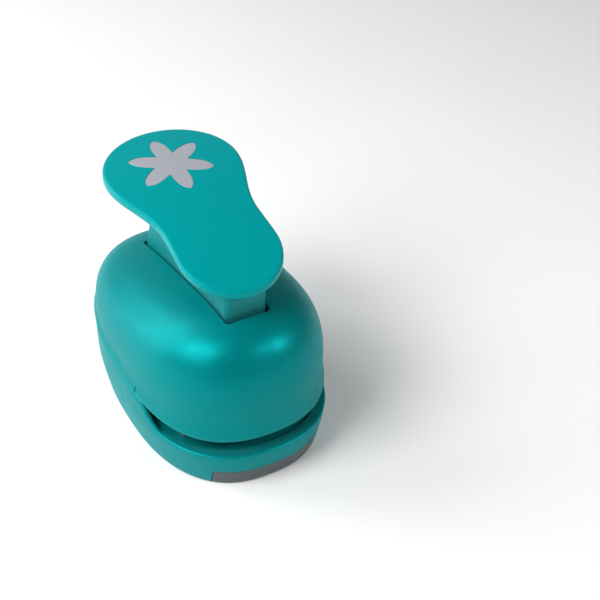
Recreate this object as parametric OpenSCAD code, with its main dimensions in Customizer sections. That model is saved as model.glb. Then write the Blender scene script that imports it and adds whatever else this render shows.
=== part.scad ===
// Lever craft punch with a six-petal flower die.
// Origin: centre of the footprint, on the surface the punch stands on.
// X is to the right, -Y is the paper mouth at the front, Z is up.

/* [Base] */
// Half of the width at the base's rim, where it is widest
base_half_w = 27; // [24:0.5:30]
// Distance from the widest line to the front of the rim
base_front = 37.1; // [34:0.1:40]
// Distance from the widest line to the back of the rim
base_rear = 42.4; // [40:0.1:43]
// Roundness of the footprint: 2 is an ellipse, higher is squarer
base_power = 2.45; // [2.2:0.05:3]
// Height of the rim
rim_h = 11.1; // [10:0.1:12]
// How far the bottom edge stands inside the rim
base_draft = 1.9; // [0.5:0.1:3]
// Height of the ledge that carries the paper
ledge_h = 11.7; // [11.5:0.1:12.5]
// How far the ledge's rounded outer edge reaches in from the rim
ledge_inset = 0.8; // [0.5:0.1:1.2]
// Thickness of the base's walls
base_wall = 2; // [1.6:0.1:2.4]
// Thickness of the paper table
table_t = 1.8; // [1.5:0.1:2.5]

/* [Body] */
// Half of the width at the body's lower edge
body_half_w = 27.45; // [24:0.05:30]
// Distance from the widest line to the body's front
body_front = 35.5; // [33:0.1:37]
// Distance from the widest line to the body's back
body_rear = 44.3; // [42:0.1:46]
// Roundness of the body's outline
body_power = 2.37; // [2.2:0.01:3]
// Height of the body's lower edge above the mouth
mouth_top = 15.8; // [15:0.1:17]
// Height of the seam along the sides and back
seam_h = 20.7; // [19:0.1:22]
// Height where the upright walls end and the dome begins
shoulder_h = 22.7; // [22:0.1:26]
// Fullness of the dome: 2 is an ellipse, higher has a flatter top and a tighter shoulder
dome_power = 2.8; // [2.5:0.05:3.2]
// Draft of the upright walls
body_draft = 0.6; // [0.4:0.1:1]
// Height of the top on the widest line
top_h = 43.2; // [42:0.1:44]
// Fall of the top towards the back, per millimetre
top_fall = 0.183; // [0.15:0.001:0.19]
// Thickness of the body's wall
body_wall = 2; // [1.6:0.1:2.4]

/* [Lever] */
// Half of the rear lobe's width
rear_lobe_w = 19; // [17:0.1:20]
// Half of the rear lobe's length
rear_lobe_l = 17.4; // [16:0.1:18]
// Half of the front lobe's width
front_lobe_w = 14; // [12:0.1:15]
// Half of the front lobe's length
front_lobe_l = 13.7; // [12:0.1:14]
// Half of the width at the waist
waist_w = 13.6; // [11:0.1:13.9]
// Thickness of the plate
plate_t = 2.5; // [2:0.1:3]
// Width of the stem
stem_w = 12; // [11:0.1:12]

/* [Motif] */
// Distance from the flower's centre to a petal's tip
flower_r = 11.5; // [10:0.1:12]
// Half of a petal's width
petal_half_w = 2.45; // [2:0.05:2.6]
// Gap between die plate and guide plate
paper_gap = 1.6; // [1.2:0.1:1.8]

/* [Tray] */
// Half of the tray's width
tray_half_w = 15.5; // [14:0.1:15.5]
// Height of the tray's front
tray_top = 5.3; // [5:0.1:5.5]

/* [Hidden] */

teal = [0.02, 0.56, 0.55];
teal_light = [0.02, 0.64, 0.64];
steel = [0.72, 0.73, 0.75];
zinc = [0.6, 0.61, 0.62];
tray_grey = [0.33, 0.36, 0.38];
silver = [0.7, 0.7, 0.74];

ring_steps = 64;
dome_steps = 13;
bore_fn = 48;
mid_y = -3.6;
seam_gap = 0.8;
seam_start_y = -36.5;
seam_run = 43.85;
mouth_end_y = -13;
mouth_rise = 10;
seam_lean = 0.2;
seam_round = 1.1;
seam_round_h = 1;
ledge_round_h = 0.5;
table_edge_in = 1.6;
table_drop = 0.8;
lip_in = 2.65;
lip_h = 1;

slot_half_w = 6.4;
slot_front_y = -25;
slot_rear_y = 26.4;
slot_round = 1.2;

pivot_y = -20.5;
pivot_z = 28;
pin_r = 2;
pin_half_l = 10;
running_gap = 0.05;
press_arm = 18;
die_y = pivot_y + press_arm;
stem_front_y = -23.9;
stem_round = 1.6;
stem_rear_r = 47.1;
toe_half_w = 4;
toe_top_z = 31.9;

plate_h = 62.7;
plate_slope = 0.181;
plate_arch = 0.00304;
plate_crown = 0.00158;
rear_lobe_y = 19;
front_lobe_y = -13.85;
motif_y = 20;
edge_s = 0.956;
pocket_t = 0.4;

die_t = 4;
guide_t = 4.5;
die_half_w = 19.4;
die_front_y = -25;
die_rear_y = 17;
die_gap = 0.08;
guide_z = ledge_h + paper_gap;
guide_top = guide_z + guide_t;
spacer_front_y = 11;
die_screw_y = 14;
die_screw_x = 13;
die_mount_x = 18.2;
die_mount_y = [-21, 13];

post_x = 14.3;
post_r = 1.75;
spring_r = 3;
spring_wire = 0.25;
spring_turns = 4;
spring_pocket_r = 3.7;
spring_seat_z = guide_top - 2.5;
carrier_z = 21.9;
carrier_t = 2.2;
carrier_half_w = 18.2;
carrier_half_l = 7;
carrier_top = carrier_z + carrier_t;
press_pin_half_l = 10.8;
pad_gap = 0.05;
pad_top = pivot_z - pin_r - pad_gap;
punch_tip_z = guide_z + 0.7;
punch_screw_dy = 4.5;

ear_in = 6.2;
ear_t = 1.8;
bracket_t = 1.6;
bracket_half_w = 15;
bracket_rear_y = -15.2;
bracket_screw_x = 11.6;

rail_in = 15.9;
rail_out = 20.6;
tray_floor_z = 0.3;
tray_rear_y = 14;
tray_front_cut = -45;
tray_stop_y = -32.3;
tray_wall = 1.2;
flange_w = 1.2;
flange_z = 3.8;
flange_t = 1;

boss_mid = [21.9, -2];
boss_rear = [14, 27];
boss_spots = [
    for (spot = [boss_mid, boss_rear], side = [-1, 1])
        [side * spot.x, spot.y]
];
boss_r = 2.4;
boss_sleeve_r = 3;
boss_foot_z = 1.2;
boss_seat_z = 4;
boss_body_z = 12;
housing_head_r = 2;
screw_r = 1.1;

// Smooth step from 0 to 1
function ease(t) = let (c = min(max(t, 0), 1)) c * c * (3 - 2 * c);
function mix(a, b, t) = a + (b - a) * t;
function signed_pow(v, p) = sign(v) * pow(abs(v), p);

// Height of the seam between base and body at depth y
function seam_z(y) = mix(mouth_top, seam_h, ease((y - seam_start_y) / seam_run));
// Height of the body's top on its centre line at depth y
function top_z(y) = top_h - top_fall * (y - mid_y);

// One point of an egg-shaped outline with rounded-square corners
function egg_point(a, half_w, front, rear, power) = [
    half_w * signed_pow(cos(a), 2 / power),
    mid_y + (sin(a) < 0 ? front : rear) * signed_pow(sin(a), 2 / power)
];
function egg(half_w, front, rear, power, steps = ring_steps) = [
    for (i = [0:steps - 1]) egg_point((i + 0.5) * 360 / steps, half_w, front, rear, power)
];
function base_egg(inset) =
    egg(base_half_w - inset, base_front - inset, base_rear - inset, base_power);
function body_egg(inset) =
    egg(body_half_w - inset, body_front - inset, body_rear - inset, body_power);
function lift(outline, z) = [for (p = outline) [p.x, p.y, z]];

// Closed solid through a stack of rings, with a fan over each end
module loft(rings, low, high) {
    n = len(rings[0]);
    m = len(rings);
    points = concat([for (r = rings) each r], [low, high]);
    sides = [
        for (k = [0:m - 2], i = [0:n - 1])
            let (a = k * n + i, b = k * n + (i + 1) % n)
                each [[a, a + n, b], [b, a + n, b + n]]
    ];
    floor_fan = [for (i = [0:n - 1]) [i, (i + 1) % n, m * n]];
    roof_fan = [for (i = [0:n - 1]) [(m - 1) * n + (i + 1) % n, (m - 1) * n + i, m * n + 1]];
    polyhedron(points, concat(sides, floor_fan, roof_fan));
}

// Extrudes a profile drawn in Y and Z along X, centred
module along_x(width) {
    rotate([90, 0, 90])
        linear_extrude(width, center = true)
            children();
}

module hole(x, y, z, r, length) {
    translate([x, y, z])
        cylinder(r = r, h = length, $fn = bore_fn);
}

module block(x, y, z) {
    translate([x[0], y[0], z[0]])
        cube([x[1] - x[0], y[1] - y[0], z[1] - z[0]]);
}

module cross_rod(y, z, r, half_l) {
    translate([-half_l, y, z])
        rotate([0, 90, 0])
            cylinder(r = r, h = 2 * half_l, $fn = bore_fn);
}

// Outline of one petal's lens plus its margin, swung round the centre
module flower(grow) {
    petal_round = (pow(flower_r / 2, 2) + pow(petal_half_w, 2)) / (2 * petal_half_w);
    circle(r = flower_r * 0.31 + grow, $fn = bore_fn);
    for (a = [30:60:330])
        rotate(a)
            translate([flower_r / 2, 0])
                intersection_for(side = [-1, 1])
                    translate([0, side * (petal_round - petal_half_w)])
                        circle(r = petal_round + grow, $fn = 96);
}

module flower_prism(z, height, grow) {
    translate([0, die_y, z])
        linear_extrude(height)
            flower(grow);
}

// Base walls over the rim: rounded to the ledge in front of the mouth, up to the seam elsewhere.
// t goes from 0 to 1 over the rounding; edge_in is 0 there, and sets the ledge's inner edge otherwise
function base_upper_point(a, t, edge_in) = let (
    turn = 1 - cos(90 * t),
    front_in = ledge_inset * turn,
    side_in = max(seam_lean + seam_round * turn, edge_in),
    rim = egg_point(a, base_half_w, base_front, base_rear, base_power),
    low = egg_point(a, base_half_w - front_in, base_front - front_in, base_rear - front_in, base_power),
    side = egg_point(a, body_half_w - side_in, body_front - side_in, body_rear - side_in, body_power),
    share = ease((rim.y - mouth_end_y) / mouth_rise + 1),
    p = edge_in > 0 ? side : mix(low, side, share),
    top = mix(ledge_h, seam_z(side.y) - seam_gap, share),
    round_h = mix(ledge_round_h, seam_round_h, share)
) [p.x, p.y, top - round_h * (1 - sin(90 * t))];
function base_upper_ring(t, edge_in = 0) =
    [for (i = [0:ring_steps - 1]) base_upper_point((i + 0.5) * 360 / ring_steps, t, edge_in)];
function shrink(ring, s) = [for (p = ring) [p.x * s, mid_y + (p.y - mid_y) * s, p.z]];

module base_form(inset = 0) {
    loft(
        [
            lift(base_egg(base_draft + 0.5 + inset), 0),
            lift(base_egg(base_draft + inset), 0.6),
            lift(base_egg(base_draft * 0.4 + inset), rim_h * 0.55),
            lift(base_egg(inset), rim_h),
            for (t = [0:0.25:1]) shrink(base_upper_ring(t), 1 - inset / base_half_w),
            shrink(base_upper_ring(1, table_edge_in), 1 - inset / base_half_w),
            shrink(base_upper_ring(1, table_edge_in), 0.9)
        ],
        [0, mid_y, 0],
        [0, mid_y, seam_h]
    );
}

// Closed form inside the base's upper walls, up to a height above the seam
module base_inner(inset, rise) {
    low = base_egg(inset);
    high = body_egg(inset);
    loft(
        [lift(low, ledge_h), [for (p = high) [p.x, p.y, seam_z(p.y) + rise]]],
        [0, mid_y, ledge_h],
        [0, mid_y, seam_h + rise]
    );
}

module base_cavity() {
    loft(
        [lift(base_egg(base_draft + base_wall), -1), lift(base_egg(base_wall), ledge_h - table_t)],
        [0, mid_y, -1],
        [0, mid_y, ledge_h - table_t]
    );
}

module base_ribs() {
    for (side = [-1, 1])
        scale([side, 1, 1])
            block([rail_in, rail_out], [-36, tray_rear_y + 2], [0.8, ledge_h - 1]);
    for (spot = boss_spots)
        hole(spot.x, spot.y, boss_foot_z, boss_sleeve_r, ledge_h - boss_foot_z);
}

// Grooves in the rails for the tray's flanges, which stop it at full travel
module tray_groove() {
    half = rail_in + flange_w;
    block([-half, half], [tray_stop_y, tray_rear_y + 1], [flange_z - 0.15, flange_z + flange_t + 0.15]);
}

// Pocket that holds the die set in the paper table
module die_pocket() {
    half = die_half_w + 0.15;
    block([-half, half], [die_front_y - 0.1, die_rear_y + 0.1], [ledge_h - die_t, 20]);
}

// Lowered table between the ledge's inner edge and the die
module mouth_table() {
    outline = body_egg(table_edge_in - 0.05);
    low_z = ledge_h - table_drop;
    intersection() {
        loft([lift(outline, low_z), lift(outline, seam_h + 5)], [0, mid_y, low_z], [0, mid_y, seam_h + 5]);
        block([-40, 40], [-50, mouth_end_y - 0.5], [0, 40]);
    }
}

module base_shell() {
    color(teal) difference() {
        union() {
            difference() {
                base_form();
                base_cavity();
            }
            intersection() {
                base_form();
                base_ribs();
            }
            intersection() {
                base_inner(lip_in, lip_h);
                block([-40, 40], [mouth_end_y + 1.5, 50], [0, 40]);
            }
        }
        base_inner(base_wall + 1.8, 6);
        mouth_table();
        die_pocket();
        block([-rail_in, rail_in], [-30, die_rear_y - 1], [-1, ledge_h - die_t + 0.5]);
        block([-tray_half_w - 0.2, tray_half_w + 0.2], [tray_front_cut, -25], [-1, tray_top + 0.15]);
        tray_groove();
        for (spot = boss_spots) {
            hole(spot.x, spot.y, ledge_h, boss_r + 0.2, 30);
            hole(spot.x, spot.y, 0, screw_r, ledge_h + 1);
            hole(spot.x, spot.y, -1, housing_head_r + 0.2, boss_seat_z + 1);
        }
        die_mount_bores();
    }
}

// Ring of the dome, a share q of the way in to the middle of the top
function dome_ring(q, wall) = let (
    half_w = body_half_w - body_draft - wall,
    front = body_front - body_draft - wall,
    rear = body_rear - body_draft - wall,
    front_q = front - half_w * q - (front - half_w) * pow(q, 3),
    rear_q = rear - half_w * q - (rear - half_w) * pow(q, 3),
    rise = pow(1 - pow(1 - q, dome_power), 1 / dome_power)
) [
    for (p = egg(half_w * (1 - q), front_q, rear_q, body_power))
        [p.x, p.y, mix(shoulder_h, top_z(p.y) - wall, rise)]
];
// Rings of the body, drawn in by a wall thickness for the inner surface
function body_rings(wall) = let (side = body_egg(wall)) [
    [for (p = side) [p.x, p.y, seam_z(p.y) - 7]],
    [for (p = side) [p.x, p.y, seam_z(p.y)]],
    for (step = [0:1 / dome_steps:0.999]) dome_ring(pow(step, 3), wall)
];

module body_form(wall) {
    loft(body_rings(wall), [0, mid_y, seam_h - 7], [0, mid_y, top_z(mid_y) - wall]);
}

module below_seam() {
    along_x(80)
        polygon([
            [-60, 0],
            for (y = [-60:2:20]) [y, seam_z(y)],
            [60, seam_h],
            [60, 0]
        ]);
}

module lever_slot() {
    translate([0, 0, shoulder_h])
        linear_extrude(30) {
            half = slot_half_w - slot_round;
            for (x = [-half, half], y = [slot_front_y + slot_round, slot_rear_y - slot_round])
                translate([x, y])
                    circle(r = slot_round, $fn = bore_fn);
            translate([-half, slot_front_y])
                square([2 * half, slot_rear_y - slot_front_y]);
            translate([-slot_half_w, slot_front_y + slot_round])
                square([2 * slot_half_w, slot_rear_y - slot_front_y - 2 * slot_round]);
        }
}

module body_shell() {
    color(teal) difference() {
        union() {
            difference() {
                body_form(0);
                body_form(body_wall);
                below_seam();
            }
            intersection() {
                for (spot = boss_spots)
                    hole(spot.x, spot.y, boss_body_z, boss_r, 30);
                union() {
                    body_form(body_wall / 2);
                    block([-40, 40], [-40, 40], [boss_body_z, shoulder_h - 2]);
                }
            }
        }
        lever_slot();
        for (spot = boss_spots)
            hole(spot.x, spot.y, boss_body_z - 1, screw_r, 10);
        for (side = [-1, 1])
            scale([side, 1, 1])
                block([body_half_w - 0.8, 30], [-11.8, -11.3], [15, 22.5]);
    }
}

// Height of the plate's upper surface
function plate_z(x, y) =
    plate_h + plate_slope * (y - die_y) - plate_arch * pow(y - die_y, 2) - plate_crown * x * x;
function side_w(y) = y > mid_y
    ? mix(waist_w, rear_lobe_w, (1 - cos(180 * (y - mid_y) / (rear_lobe_y - mid_y))) / 2)
    : mix(waist_w, front_lobe_w, (1 - cos(180 * (mid_y - y) / (mid_y - front_lobe_y))) / 2);
plate_outline = [
    for (a = [0:7.5:180]) [rear_lobe_w * cos(a), rear_lobe_y + rear_lobe_l * sin(a)],
    for (k = [1:11]) let (y = mix(rear_lobe_y, front_lobe_y, k / 12)) [-side_w(y), y],
    for (a = [180:9:360]) [front_lobe_w * cos(a), front_lobe_y + front_lobe_l * sin(a)],
    for (k = [1:11]) let (y = mix(front_lobe_y, rear_lobe_y, k / 12)) [side_w(y), y]
];
function plate_ring(s, depth) = [
    for (p = plate_outline) let (x = p.x * s, y = p.y * s) [x, y, plate_z(x, y) - depth]
];

// Slab of the plate's curvature between two depths below its upper surface
module plate_slab(low, high) {
    loft(
        [
            for (s = [0.35, 0.7, edge_s]) plate_ring(s, low),
            for (s = [edge_s, 0.7, 0.35]) plate_ring(s, high)
        ],
        [0, 0, plate_z(0, 0) - low],
        [0, 0, plate_z(0, 0) - high]
    );
}

module motif_prism(grow) {
    translate([0, motif_y, 50])
        linear_extrude(30)
            flower(grow);
}

module lever_plate() {
    color(teal_light) difference() {
        loft(
            [
                plate_ring(0.35, plate_t),
                plate_ring(0.7, plate_t),
                plate_ring(0.975, plate_t),
                plate_ring(1, plate_t - 0.5),
                plate_ring(1, 0.7),
                plate_ring(0.988, 0.2),
                plate_ring(edge_s, 0),
                plate_ring(0.7, 0),
                plate_ring(0.35, 0)
            ],
            [0, 0, plate_z(0, 0) - plate_t],
            [0, 0, plate_z(0, 0)]
        );
        intersection() {
            motif_prism(0.04);
            plate_slab(pocket_t, -2);
        }
    }
}

module flower_inlay() {
    color(silver) intersection() {
        motif_prism(0);
        plate_slab(pocket_t, 0.05);
    }
}

// Side view of the stem in Y and Z; its top follows the underside of the plate
module stem_side() {
    polygon([
        [stem_front_y, pivot_z],
        for (y = [stem_front_y:3.4:21]) [y, plate_z(0, y) - plate_t - 0.02],
        [32, 60],
        [32, 29.5],
        [6, 29.5],
        [0.5, 26],
        [pivot_y, 24]
    ]);
}

// Thin rib that carries the rear lobe from the stem's curved back
module lobe_rib() {
    along_x(2)
        polygon([[8, 50], [8, 61], for (y = [12:3:30]) [y, plate_z(0, y) - plate_t - 0.02], [13, 50]]);
}

module stem_plan() {
    half = stem_w / 2;
    for (side = [-1, 1])
        translate([side * (half - stem_round), stem_front_y + stem_round])
            circle(r = stem_round, $fn = bore_fn);
    translate([-half + stem_round, stem_front_y])
        square([stem_w - 2 * stem_round, 60]);
    translate([-half, stem_front_y + stem_round])
        square([stem_w, 60]);
}

// Disc about the hinge that gives the stem its curved back
module stem_sweep() {
    half = stem_w / 2;
    translate([0, pivot_y, pivot_z])
        rotate([0, 90, 0])
            rotate_extrude($fn = 180) {
                translate([0, -half])
                    square([stem_rear_r - stem_round, stem_w]);
                translate([0, stem_round - half])
                    square([stem_rear_r, stem_w - 2 * stem_round]);
                for (side = [-1, 1])
                    translate([stem_rear_r - stem_round, side * (half - stem_round)])
                        circle(r = stem_round, $fn = bore_fn);
            }
}

module lever_stem() {
    color(teal) difference() {
        union() {
            difference() {
                intersection() {
                    along_x(stem_w) stem_side();
                    linear_extrude(90) stem_plan();
                    stem_sweep();
                }
                along_x(stem_w - 4)
                    polygon([[-14, 20], [-14, 50], [4, 54], [14, 46], [20, 38], [20, 20]]);
            }
            cross_rod(pivot_y, pivot_z, 4.4, stem_w / 2);
            cross_rod(die_y, pivot_z, 3.4, stem_w / 2);
            block([-toe_half_w, toe_half_w], [22, 28.2], [29.5, toe_top_z]);
            lobe_rib();
        }
        cross_rod(pivot_y, pivot_z, pin_r + running_gap, 20);
        cross_rod(die_y, pivot_z, pin_r, 20);
    }
}

module press_pin() {
    color(steel) cross_rod(die_y, pivot_z, pin_r, press_pin_half_l);
}

module hinge_pin() {
    color(steel) cross_rod(pivot_y, pivot_z, pin_r, pin_half_l);
}

module pin_clips() {
    color(steel)
        for (side = [-1, 1])
            translate([side * (ear_in + ear_t + 0.55), 0, 0])
                difference() {
                    cross_rod(pivot_y, pivot_z, 3.6, 0.35);
                    cross_rod(pivot_y, pivot_z, pin_r, 1);
                }
}

module bracket_shanks(extra) {
    for (side = [-1, 1])
        hole(side * bracket_screw_x, pivot_y, guide_top - 3, 1.25, 3 + bracket_t + extra);
}

module pivot_bracket() {
    color(zinc) difference() {
        union() {
            block(
                [-bracket_half_w, bracket_half_w],
                [die_front_y, bracket_rear_y],
                [guide_top, guide_top + bracket_t]
            );
            for (side = [-1, 1])
                scale([side, 1, 1]) {
                    block([ear_in, ear_in + ear_t], [pivot_y - 4, pivot_y + 4], [guide_top, pivot_z]);
                    translate([ear_in + ear_t / 2, 0, 0])
                        cross_rod(pivot_y, pivot_z, 4, ear_t / 2);
                }
        }
        cross_rod(pivot_y, pivot_z, pin_r, 20);
        bracket_shanks(1);
    }
}

module bracket_screws() {
    color(steel) {
        bracket_shanks(0);
        for (side = [-1, 1])
            hole(side * bracket_screw_x, pivot_y, guide_top + bracket_t, 2.3, 1.5);
    }
}

module die_block(z, height, low_y = die_front_y) {
    block([-die_half_w, die_half_w], [low_y, die_rear_y], [z, z + height]);
}

module die_screw_bores() {
    for (x = [-die_screw_x, 0, die_screw_x])
        hole(x, die_screw_y, ledge_h - 3, 1.25, guide_top - ledge_h + 3);
}

module die_mount_bores() {
    for (side = [-1, 1], y = die_mount_y) {
        hole(side * die_mount_x, y, 0, 1.05, ledge_h - 1);
        hole(side * die_mount_x, y, -1, 1.8, 3.4);
    }
}

module die_plate() {
    color(zinc) difference() {
        die_block(ledge_h - die_t, die_t);
        flower_prism(ledge_h - die_t - 1, die_t + 2, die_gap);
        flower_prism(ledge_h - die_t - 1, 3, die_gap + 0.4);
        die_screw_bores();
        die_mount_bores();
    }
}

module spacer_bar() {
    color(steel) difference() {
        die_block(ledge_h, paper_gap, spacer_front_y);
        die_screw_bores();
    }
}

module guide_plate() {
    color(zinc) difference() {
        die_block(guide_z, guide_t);
        flower_prism(guide_z - 1, guide_t + 2, die_gap);
        for (side = [-1, 1]) {
            hole(side * post_x, die_y, guide_z - 1, post_r, guide_t);
            hole(side * post_x, die_y, spring_seat_z, spring_pocket_r, guide_t);
        }
        die_screw_bores();
        bracket_shanks(0);
    }
}

module die_screws() {
    color(steel) {
        die_screw_bores();
        for (x = [-die_screw_x, 0, die_screw_x])
            hole(x, die_screw_y, guide_top, 2.4, 1.6);
    }
}

module die_mount_screws() {
    color(steel)
        for (side = [-1, 1], y = die_mount_y) {
            hole(side * die_mount_x, y, 1.2, 1.05, ledge_h - 2.2);
            hole(side * die_mount_x, y, 1.2, 1.7, 1.2);
        }
}

module punch_screws() {
    color(steel)
        for (dy = [-punch_screw_dy, punch_screw_dy]) {
            hole(0, die_y + dy, carrier_top - 1, 1.8, 1);
            hole(0, die_y + dy, carrier_z - 5, 0.9, carrier_t + 4.5);
        }
}

module punch_carrier() {
    color(zinc) difference() {
        union() {
            block(
                [-carrier_half_w, carrier_half_w],
                [die_y - carrier_half_l, die_y + carrier_half_l],
                [carrier_z, carrier_top]
            );
            for (side = [-1, 1])
                scale([side, 1, 1])
                    block([7.2, 10.6], [die_y - 3, die_y + 3], [carrier_z, pad_top]);
        }
        for (side = [-1, 1])
            hole(side * post_x, die_y, carrier_z - 1, post_r + 0.08, carrier_t + 2);
        punch_screws();
    }
}

module male_punch() {
    color(steel) difference() {
        flower_prism(punch_tip_z, carrier_z - punch_tip_z, 0);
        punch_screws();
    }
}

module guide_posts() {
    color(steel)
        for (side = [-1, 1])
            hole(side * post_x, die_y, guide_z, post_r, carrier_top + 1.5 - guide_z);
}

module post_clips() {
    color(steel)
        for (side = [-1, 1])
            difference() {
                hole(side * post_x, die_y, carrier_top + 0.2, 2.8, 0.7);
                hole(side * post_x, die_y, carrier_top, post_r, 2);
            }
}

// Helical spring round a guide post
module return_spring(x) {
    rest_l = carrier_z - spring_seat_z - 2 * spring_wire - 0.1;
    turn_steps = 18;
    steps = spring_turns * turn_steps;
    function coil_ring(k) = let (a = k * 360 / turn_steps) [
        for (b = [0:60:300]) let (r = spring_r + spring_wire * cos(b)) [
            x + r * cos(a),
            die_y + r * sin(a),
            spring_seat_z + spring_wire + 0.05 + rest_l * k / steps - spring_wire * sin(b)
        ]
    ];
    function coil_end(k) = let (a = k * 360 / turn_steps) [
        x + spring_r * cos(a),
        die_y + spring_r * sin(a),
        spring_seat_z + spring_wire + 0.05 + rest_l * k / steps
    ];
    loft([for (k = [0:steps]) coil_ring(k)], coil_end(0), coil_end(steps));
}

module return_spring_left() {
    color(steel) return_spring(-post_x);
}

module return_spring_right() {
    color(steel) return_spring(post_x);
}

module housing_screws() {
    color(steel)
        for (spot = boss_spots) {
            hole(spot.x, spot.y, boss_seat_z - 1.5, housing_head_r, 1.5);
            hole(spot.x, spot.y, boss_seat_z, screw_r, 16);
        }
}

module chip_tray() {
    color(tray_grey) {
        difference() {
            intersection() {
                base_form();
                block([-tray_half_w, tray_half_w], [tray_front_cut, tray_rear_y], [tray_floor_z, tray_top]);
            }
            intersection() {
                base_form(tray_wall + 0.6);
                block(
                    [-tray_half_w + tray_wall, tray_half_w - tray_wall],
                    [tray_front_cut, tray_rear_y - tray_wall],
                    [tray_floor_z + 1, tray_top + 1]
                );
            }
        }
        for (side = [-1, 1])
            scale([side, 1, 1])
                block(
                    [tray_half_w - 0.5, tray_half_w + flange_w],
                    [0, tray_rear_y],
                    [flange_z, flange_z + flange_t]
                );
    }
}

base_shell();
body_shell();
lever_plate();
lever_stem();
flower_inlay();
press_pin();
die_plate();
spacer_bar();
guide_plate();
die_screws();
die_mount_screws();
punch_carrier();
male_punch();
punch_screws();
guide_posts();
post_clips();
return_spring_left();
return_spring_right();
pivot_bracket();
bracket_screws();
hinge_pin();
pin_clips();
housing_screws();
chip_tray();
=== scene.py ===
"""Looks of the lever craft punch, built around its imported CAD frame.

Lengths are in millimetres until a mesh is made."""

import math

import bmesh
import bpy
import numpy as np
from mathutils import Matrix, Vector
from mathutils.bvhtree import BVHTree


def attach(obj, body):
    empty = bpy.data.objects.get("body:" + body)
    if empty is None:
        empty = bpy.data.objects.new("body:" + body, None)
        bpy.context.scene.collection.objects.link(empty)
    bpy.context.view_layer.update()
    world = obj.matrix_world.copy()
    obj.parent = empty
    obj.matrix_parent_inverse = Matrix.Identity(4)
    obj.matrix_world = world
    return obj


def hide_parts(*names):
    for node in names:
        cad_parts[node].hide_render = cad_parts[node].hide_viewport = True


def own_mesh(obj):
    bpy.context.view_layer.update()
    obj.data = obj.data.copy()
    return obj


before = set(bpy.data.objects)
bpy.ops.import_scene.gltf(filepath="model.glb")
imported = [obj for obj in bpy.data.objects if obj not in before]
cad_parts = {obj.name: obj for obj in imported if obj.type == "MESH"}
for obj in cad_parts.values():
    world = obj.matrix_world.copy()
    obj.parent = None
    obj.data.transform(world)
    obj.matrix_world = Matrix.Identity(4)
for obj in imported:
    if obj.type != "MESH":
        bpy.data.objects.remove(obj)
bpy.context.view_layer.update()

MM = 0.001

# Footprint and base
MID_Y = -3.6
BASE_HALF_W = 27.0
BASE_FRONT = 37.1
BASE_REAR = 42.4
BASE_POWER = 2.45
BASE_WALL = 2.0
BASE_DRAFT = 1.9
RIM_H = 11.1
LEDGE_H = 11.7
LEDGE_INSET = 0.8
TABLE_T = 1.8
MOUTH_END_Y = -13.0
MOUTH_RISE = 10.0
SEAM_LEAN = 0.2
SEAM_ROUND = (1.1, 1.0)  # width and height
LEDGE_ROUND_H = 0.5
TABLE_EDGE_IN = 1.6
TABLE_DROP = 0.8
TABLE_HOLE = (15.0, 19.0, 18.0)  # half width, front and rear lengths
LIP_IN = 2.65
LIP_H = 1.0

# Body
BODY_HALF_W = 27.45
BODY_FRONT = 35.5
BODY_REAR = 44.3
BODY_POWER = 2.37
BODY_WALL = 2.0
BODY_DRAFT = 0.6
MOUTH_TOP = 15.8
SEAM_H = 20.7
SEAM_START_Y = -36.5
SEAM_RUN = 43.85
SEAM_GAP = 0.8
SHOULDER_H = 22.7
TOP_H = 43.2
TOP_FALL = 0.183
DOME_POWER = 2.8
DOME_OPEN = 0.40

# Lever slot in the body's top
SLOT_HALF_W = 6.4
SLOT_FRONT_Y = -25.0
SLOT_REAR_Y = 26.4
SLOT_ROUND = 1.2

# Lever plate: height, slope and arch along its length from DIE_Y, crown across its width
PLATE_H = 62.7
PLATE_SLOPE = 0.181
PLATE_ARCH = 0.00304
PLATE_CROWN = 0.00158
PLATE_T = 2.5
DIE_Y = -2.5
REAR_LOBE = (19.0, 17.4, 19.0)  # half width, half length, y of its centre
FRONT_LOBE = (14.0, 13.7, -13.85)
WAIST_W = 13.6
MOTIF_Y = 20.0
FLOWER_R = 11.5
PETAL_HALF_W = 2.4
PETAL_TURN = 31.0

# Tray
TRAY_HALF_W = 15.5
TRAY_TOP = 5.3
TRAY_FLOOR_Z = 0.3
TRAY_REAR_Y = 14.0
TRAY_WALL = 1.2

# Points round the egg-shaped outlines and round the lever slot
COLUMNS = 256


# ---------------------------------------------------------------- outlines and surfaces

def ease(t):
    """Smooth step from 0 to 1."""
    t = np.clip(t, 0, 1)
    return t * t * (3 - 2 * t)


def mix(a, b, t):
    return a + (b - a) * t


def egg(half_w, front, rear, power, count=COLUMNS):
    """Egg-shaped outline with rounded-square corners, counter-clockwise from +X."""
    a = (np.arange(count) + 0.5) * 2 * np.pi / count
    c, s = np.cos(a), np.sin(a)
    x = half_w * np.sign(c) * np.abs(c) ** (2 / power)
    y = MID_Y + np.where(s < 0, front, rear) * np.sign(s) * np.abs(s) ** (2 / power)
    return np.stack([x, y], 1)


def base_egg(inset):
    return egg(BASE_HALF_W - inset, BASE_FRONT - inset, BASE_REAR - inset, BASE_POWER)


def body_egg(inset):
    return egg(BODY_HALF_W - inset, BODY_FRONT - inset, BODY_REAR - inset, BODY_POWER)


def at(outline, z):
    """Outline points at height z, which is a number or one value per point."""
    return np.column_stack([outline, np.broadcast_to(z, len(outline))])


def seam_z(y):
    return mix(MOUTH_TOP, SEAM_H, ease((y - SEAM_START_Y) / SEAM_RUN))


def top_z(y):
    return TOP_H - TOP_FALL * (y - MID_Y)


def dome_lengths(q, wall):
    """Half width, front and rear lengths of the dome's outline, q of the way in to the centre."""
    half_w = BODY_HALF_W - BODY_DRAFT - wall
    front = BODY_FRONT - BODY_DRAFT - wall
    rear = BODY_REAR - BODY_DRAFT - wall
    return (
        half_w * (1 - q),
        front - half_w * q - (front - half_w) * q**3,
        rear - half_w * q - (rear - half_w) * q**3,
    )


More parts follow.
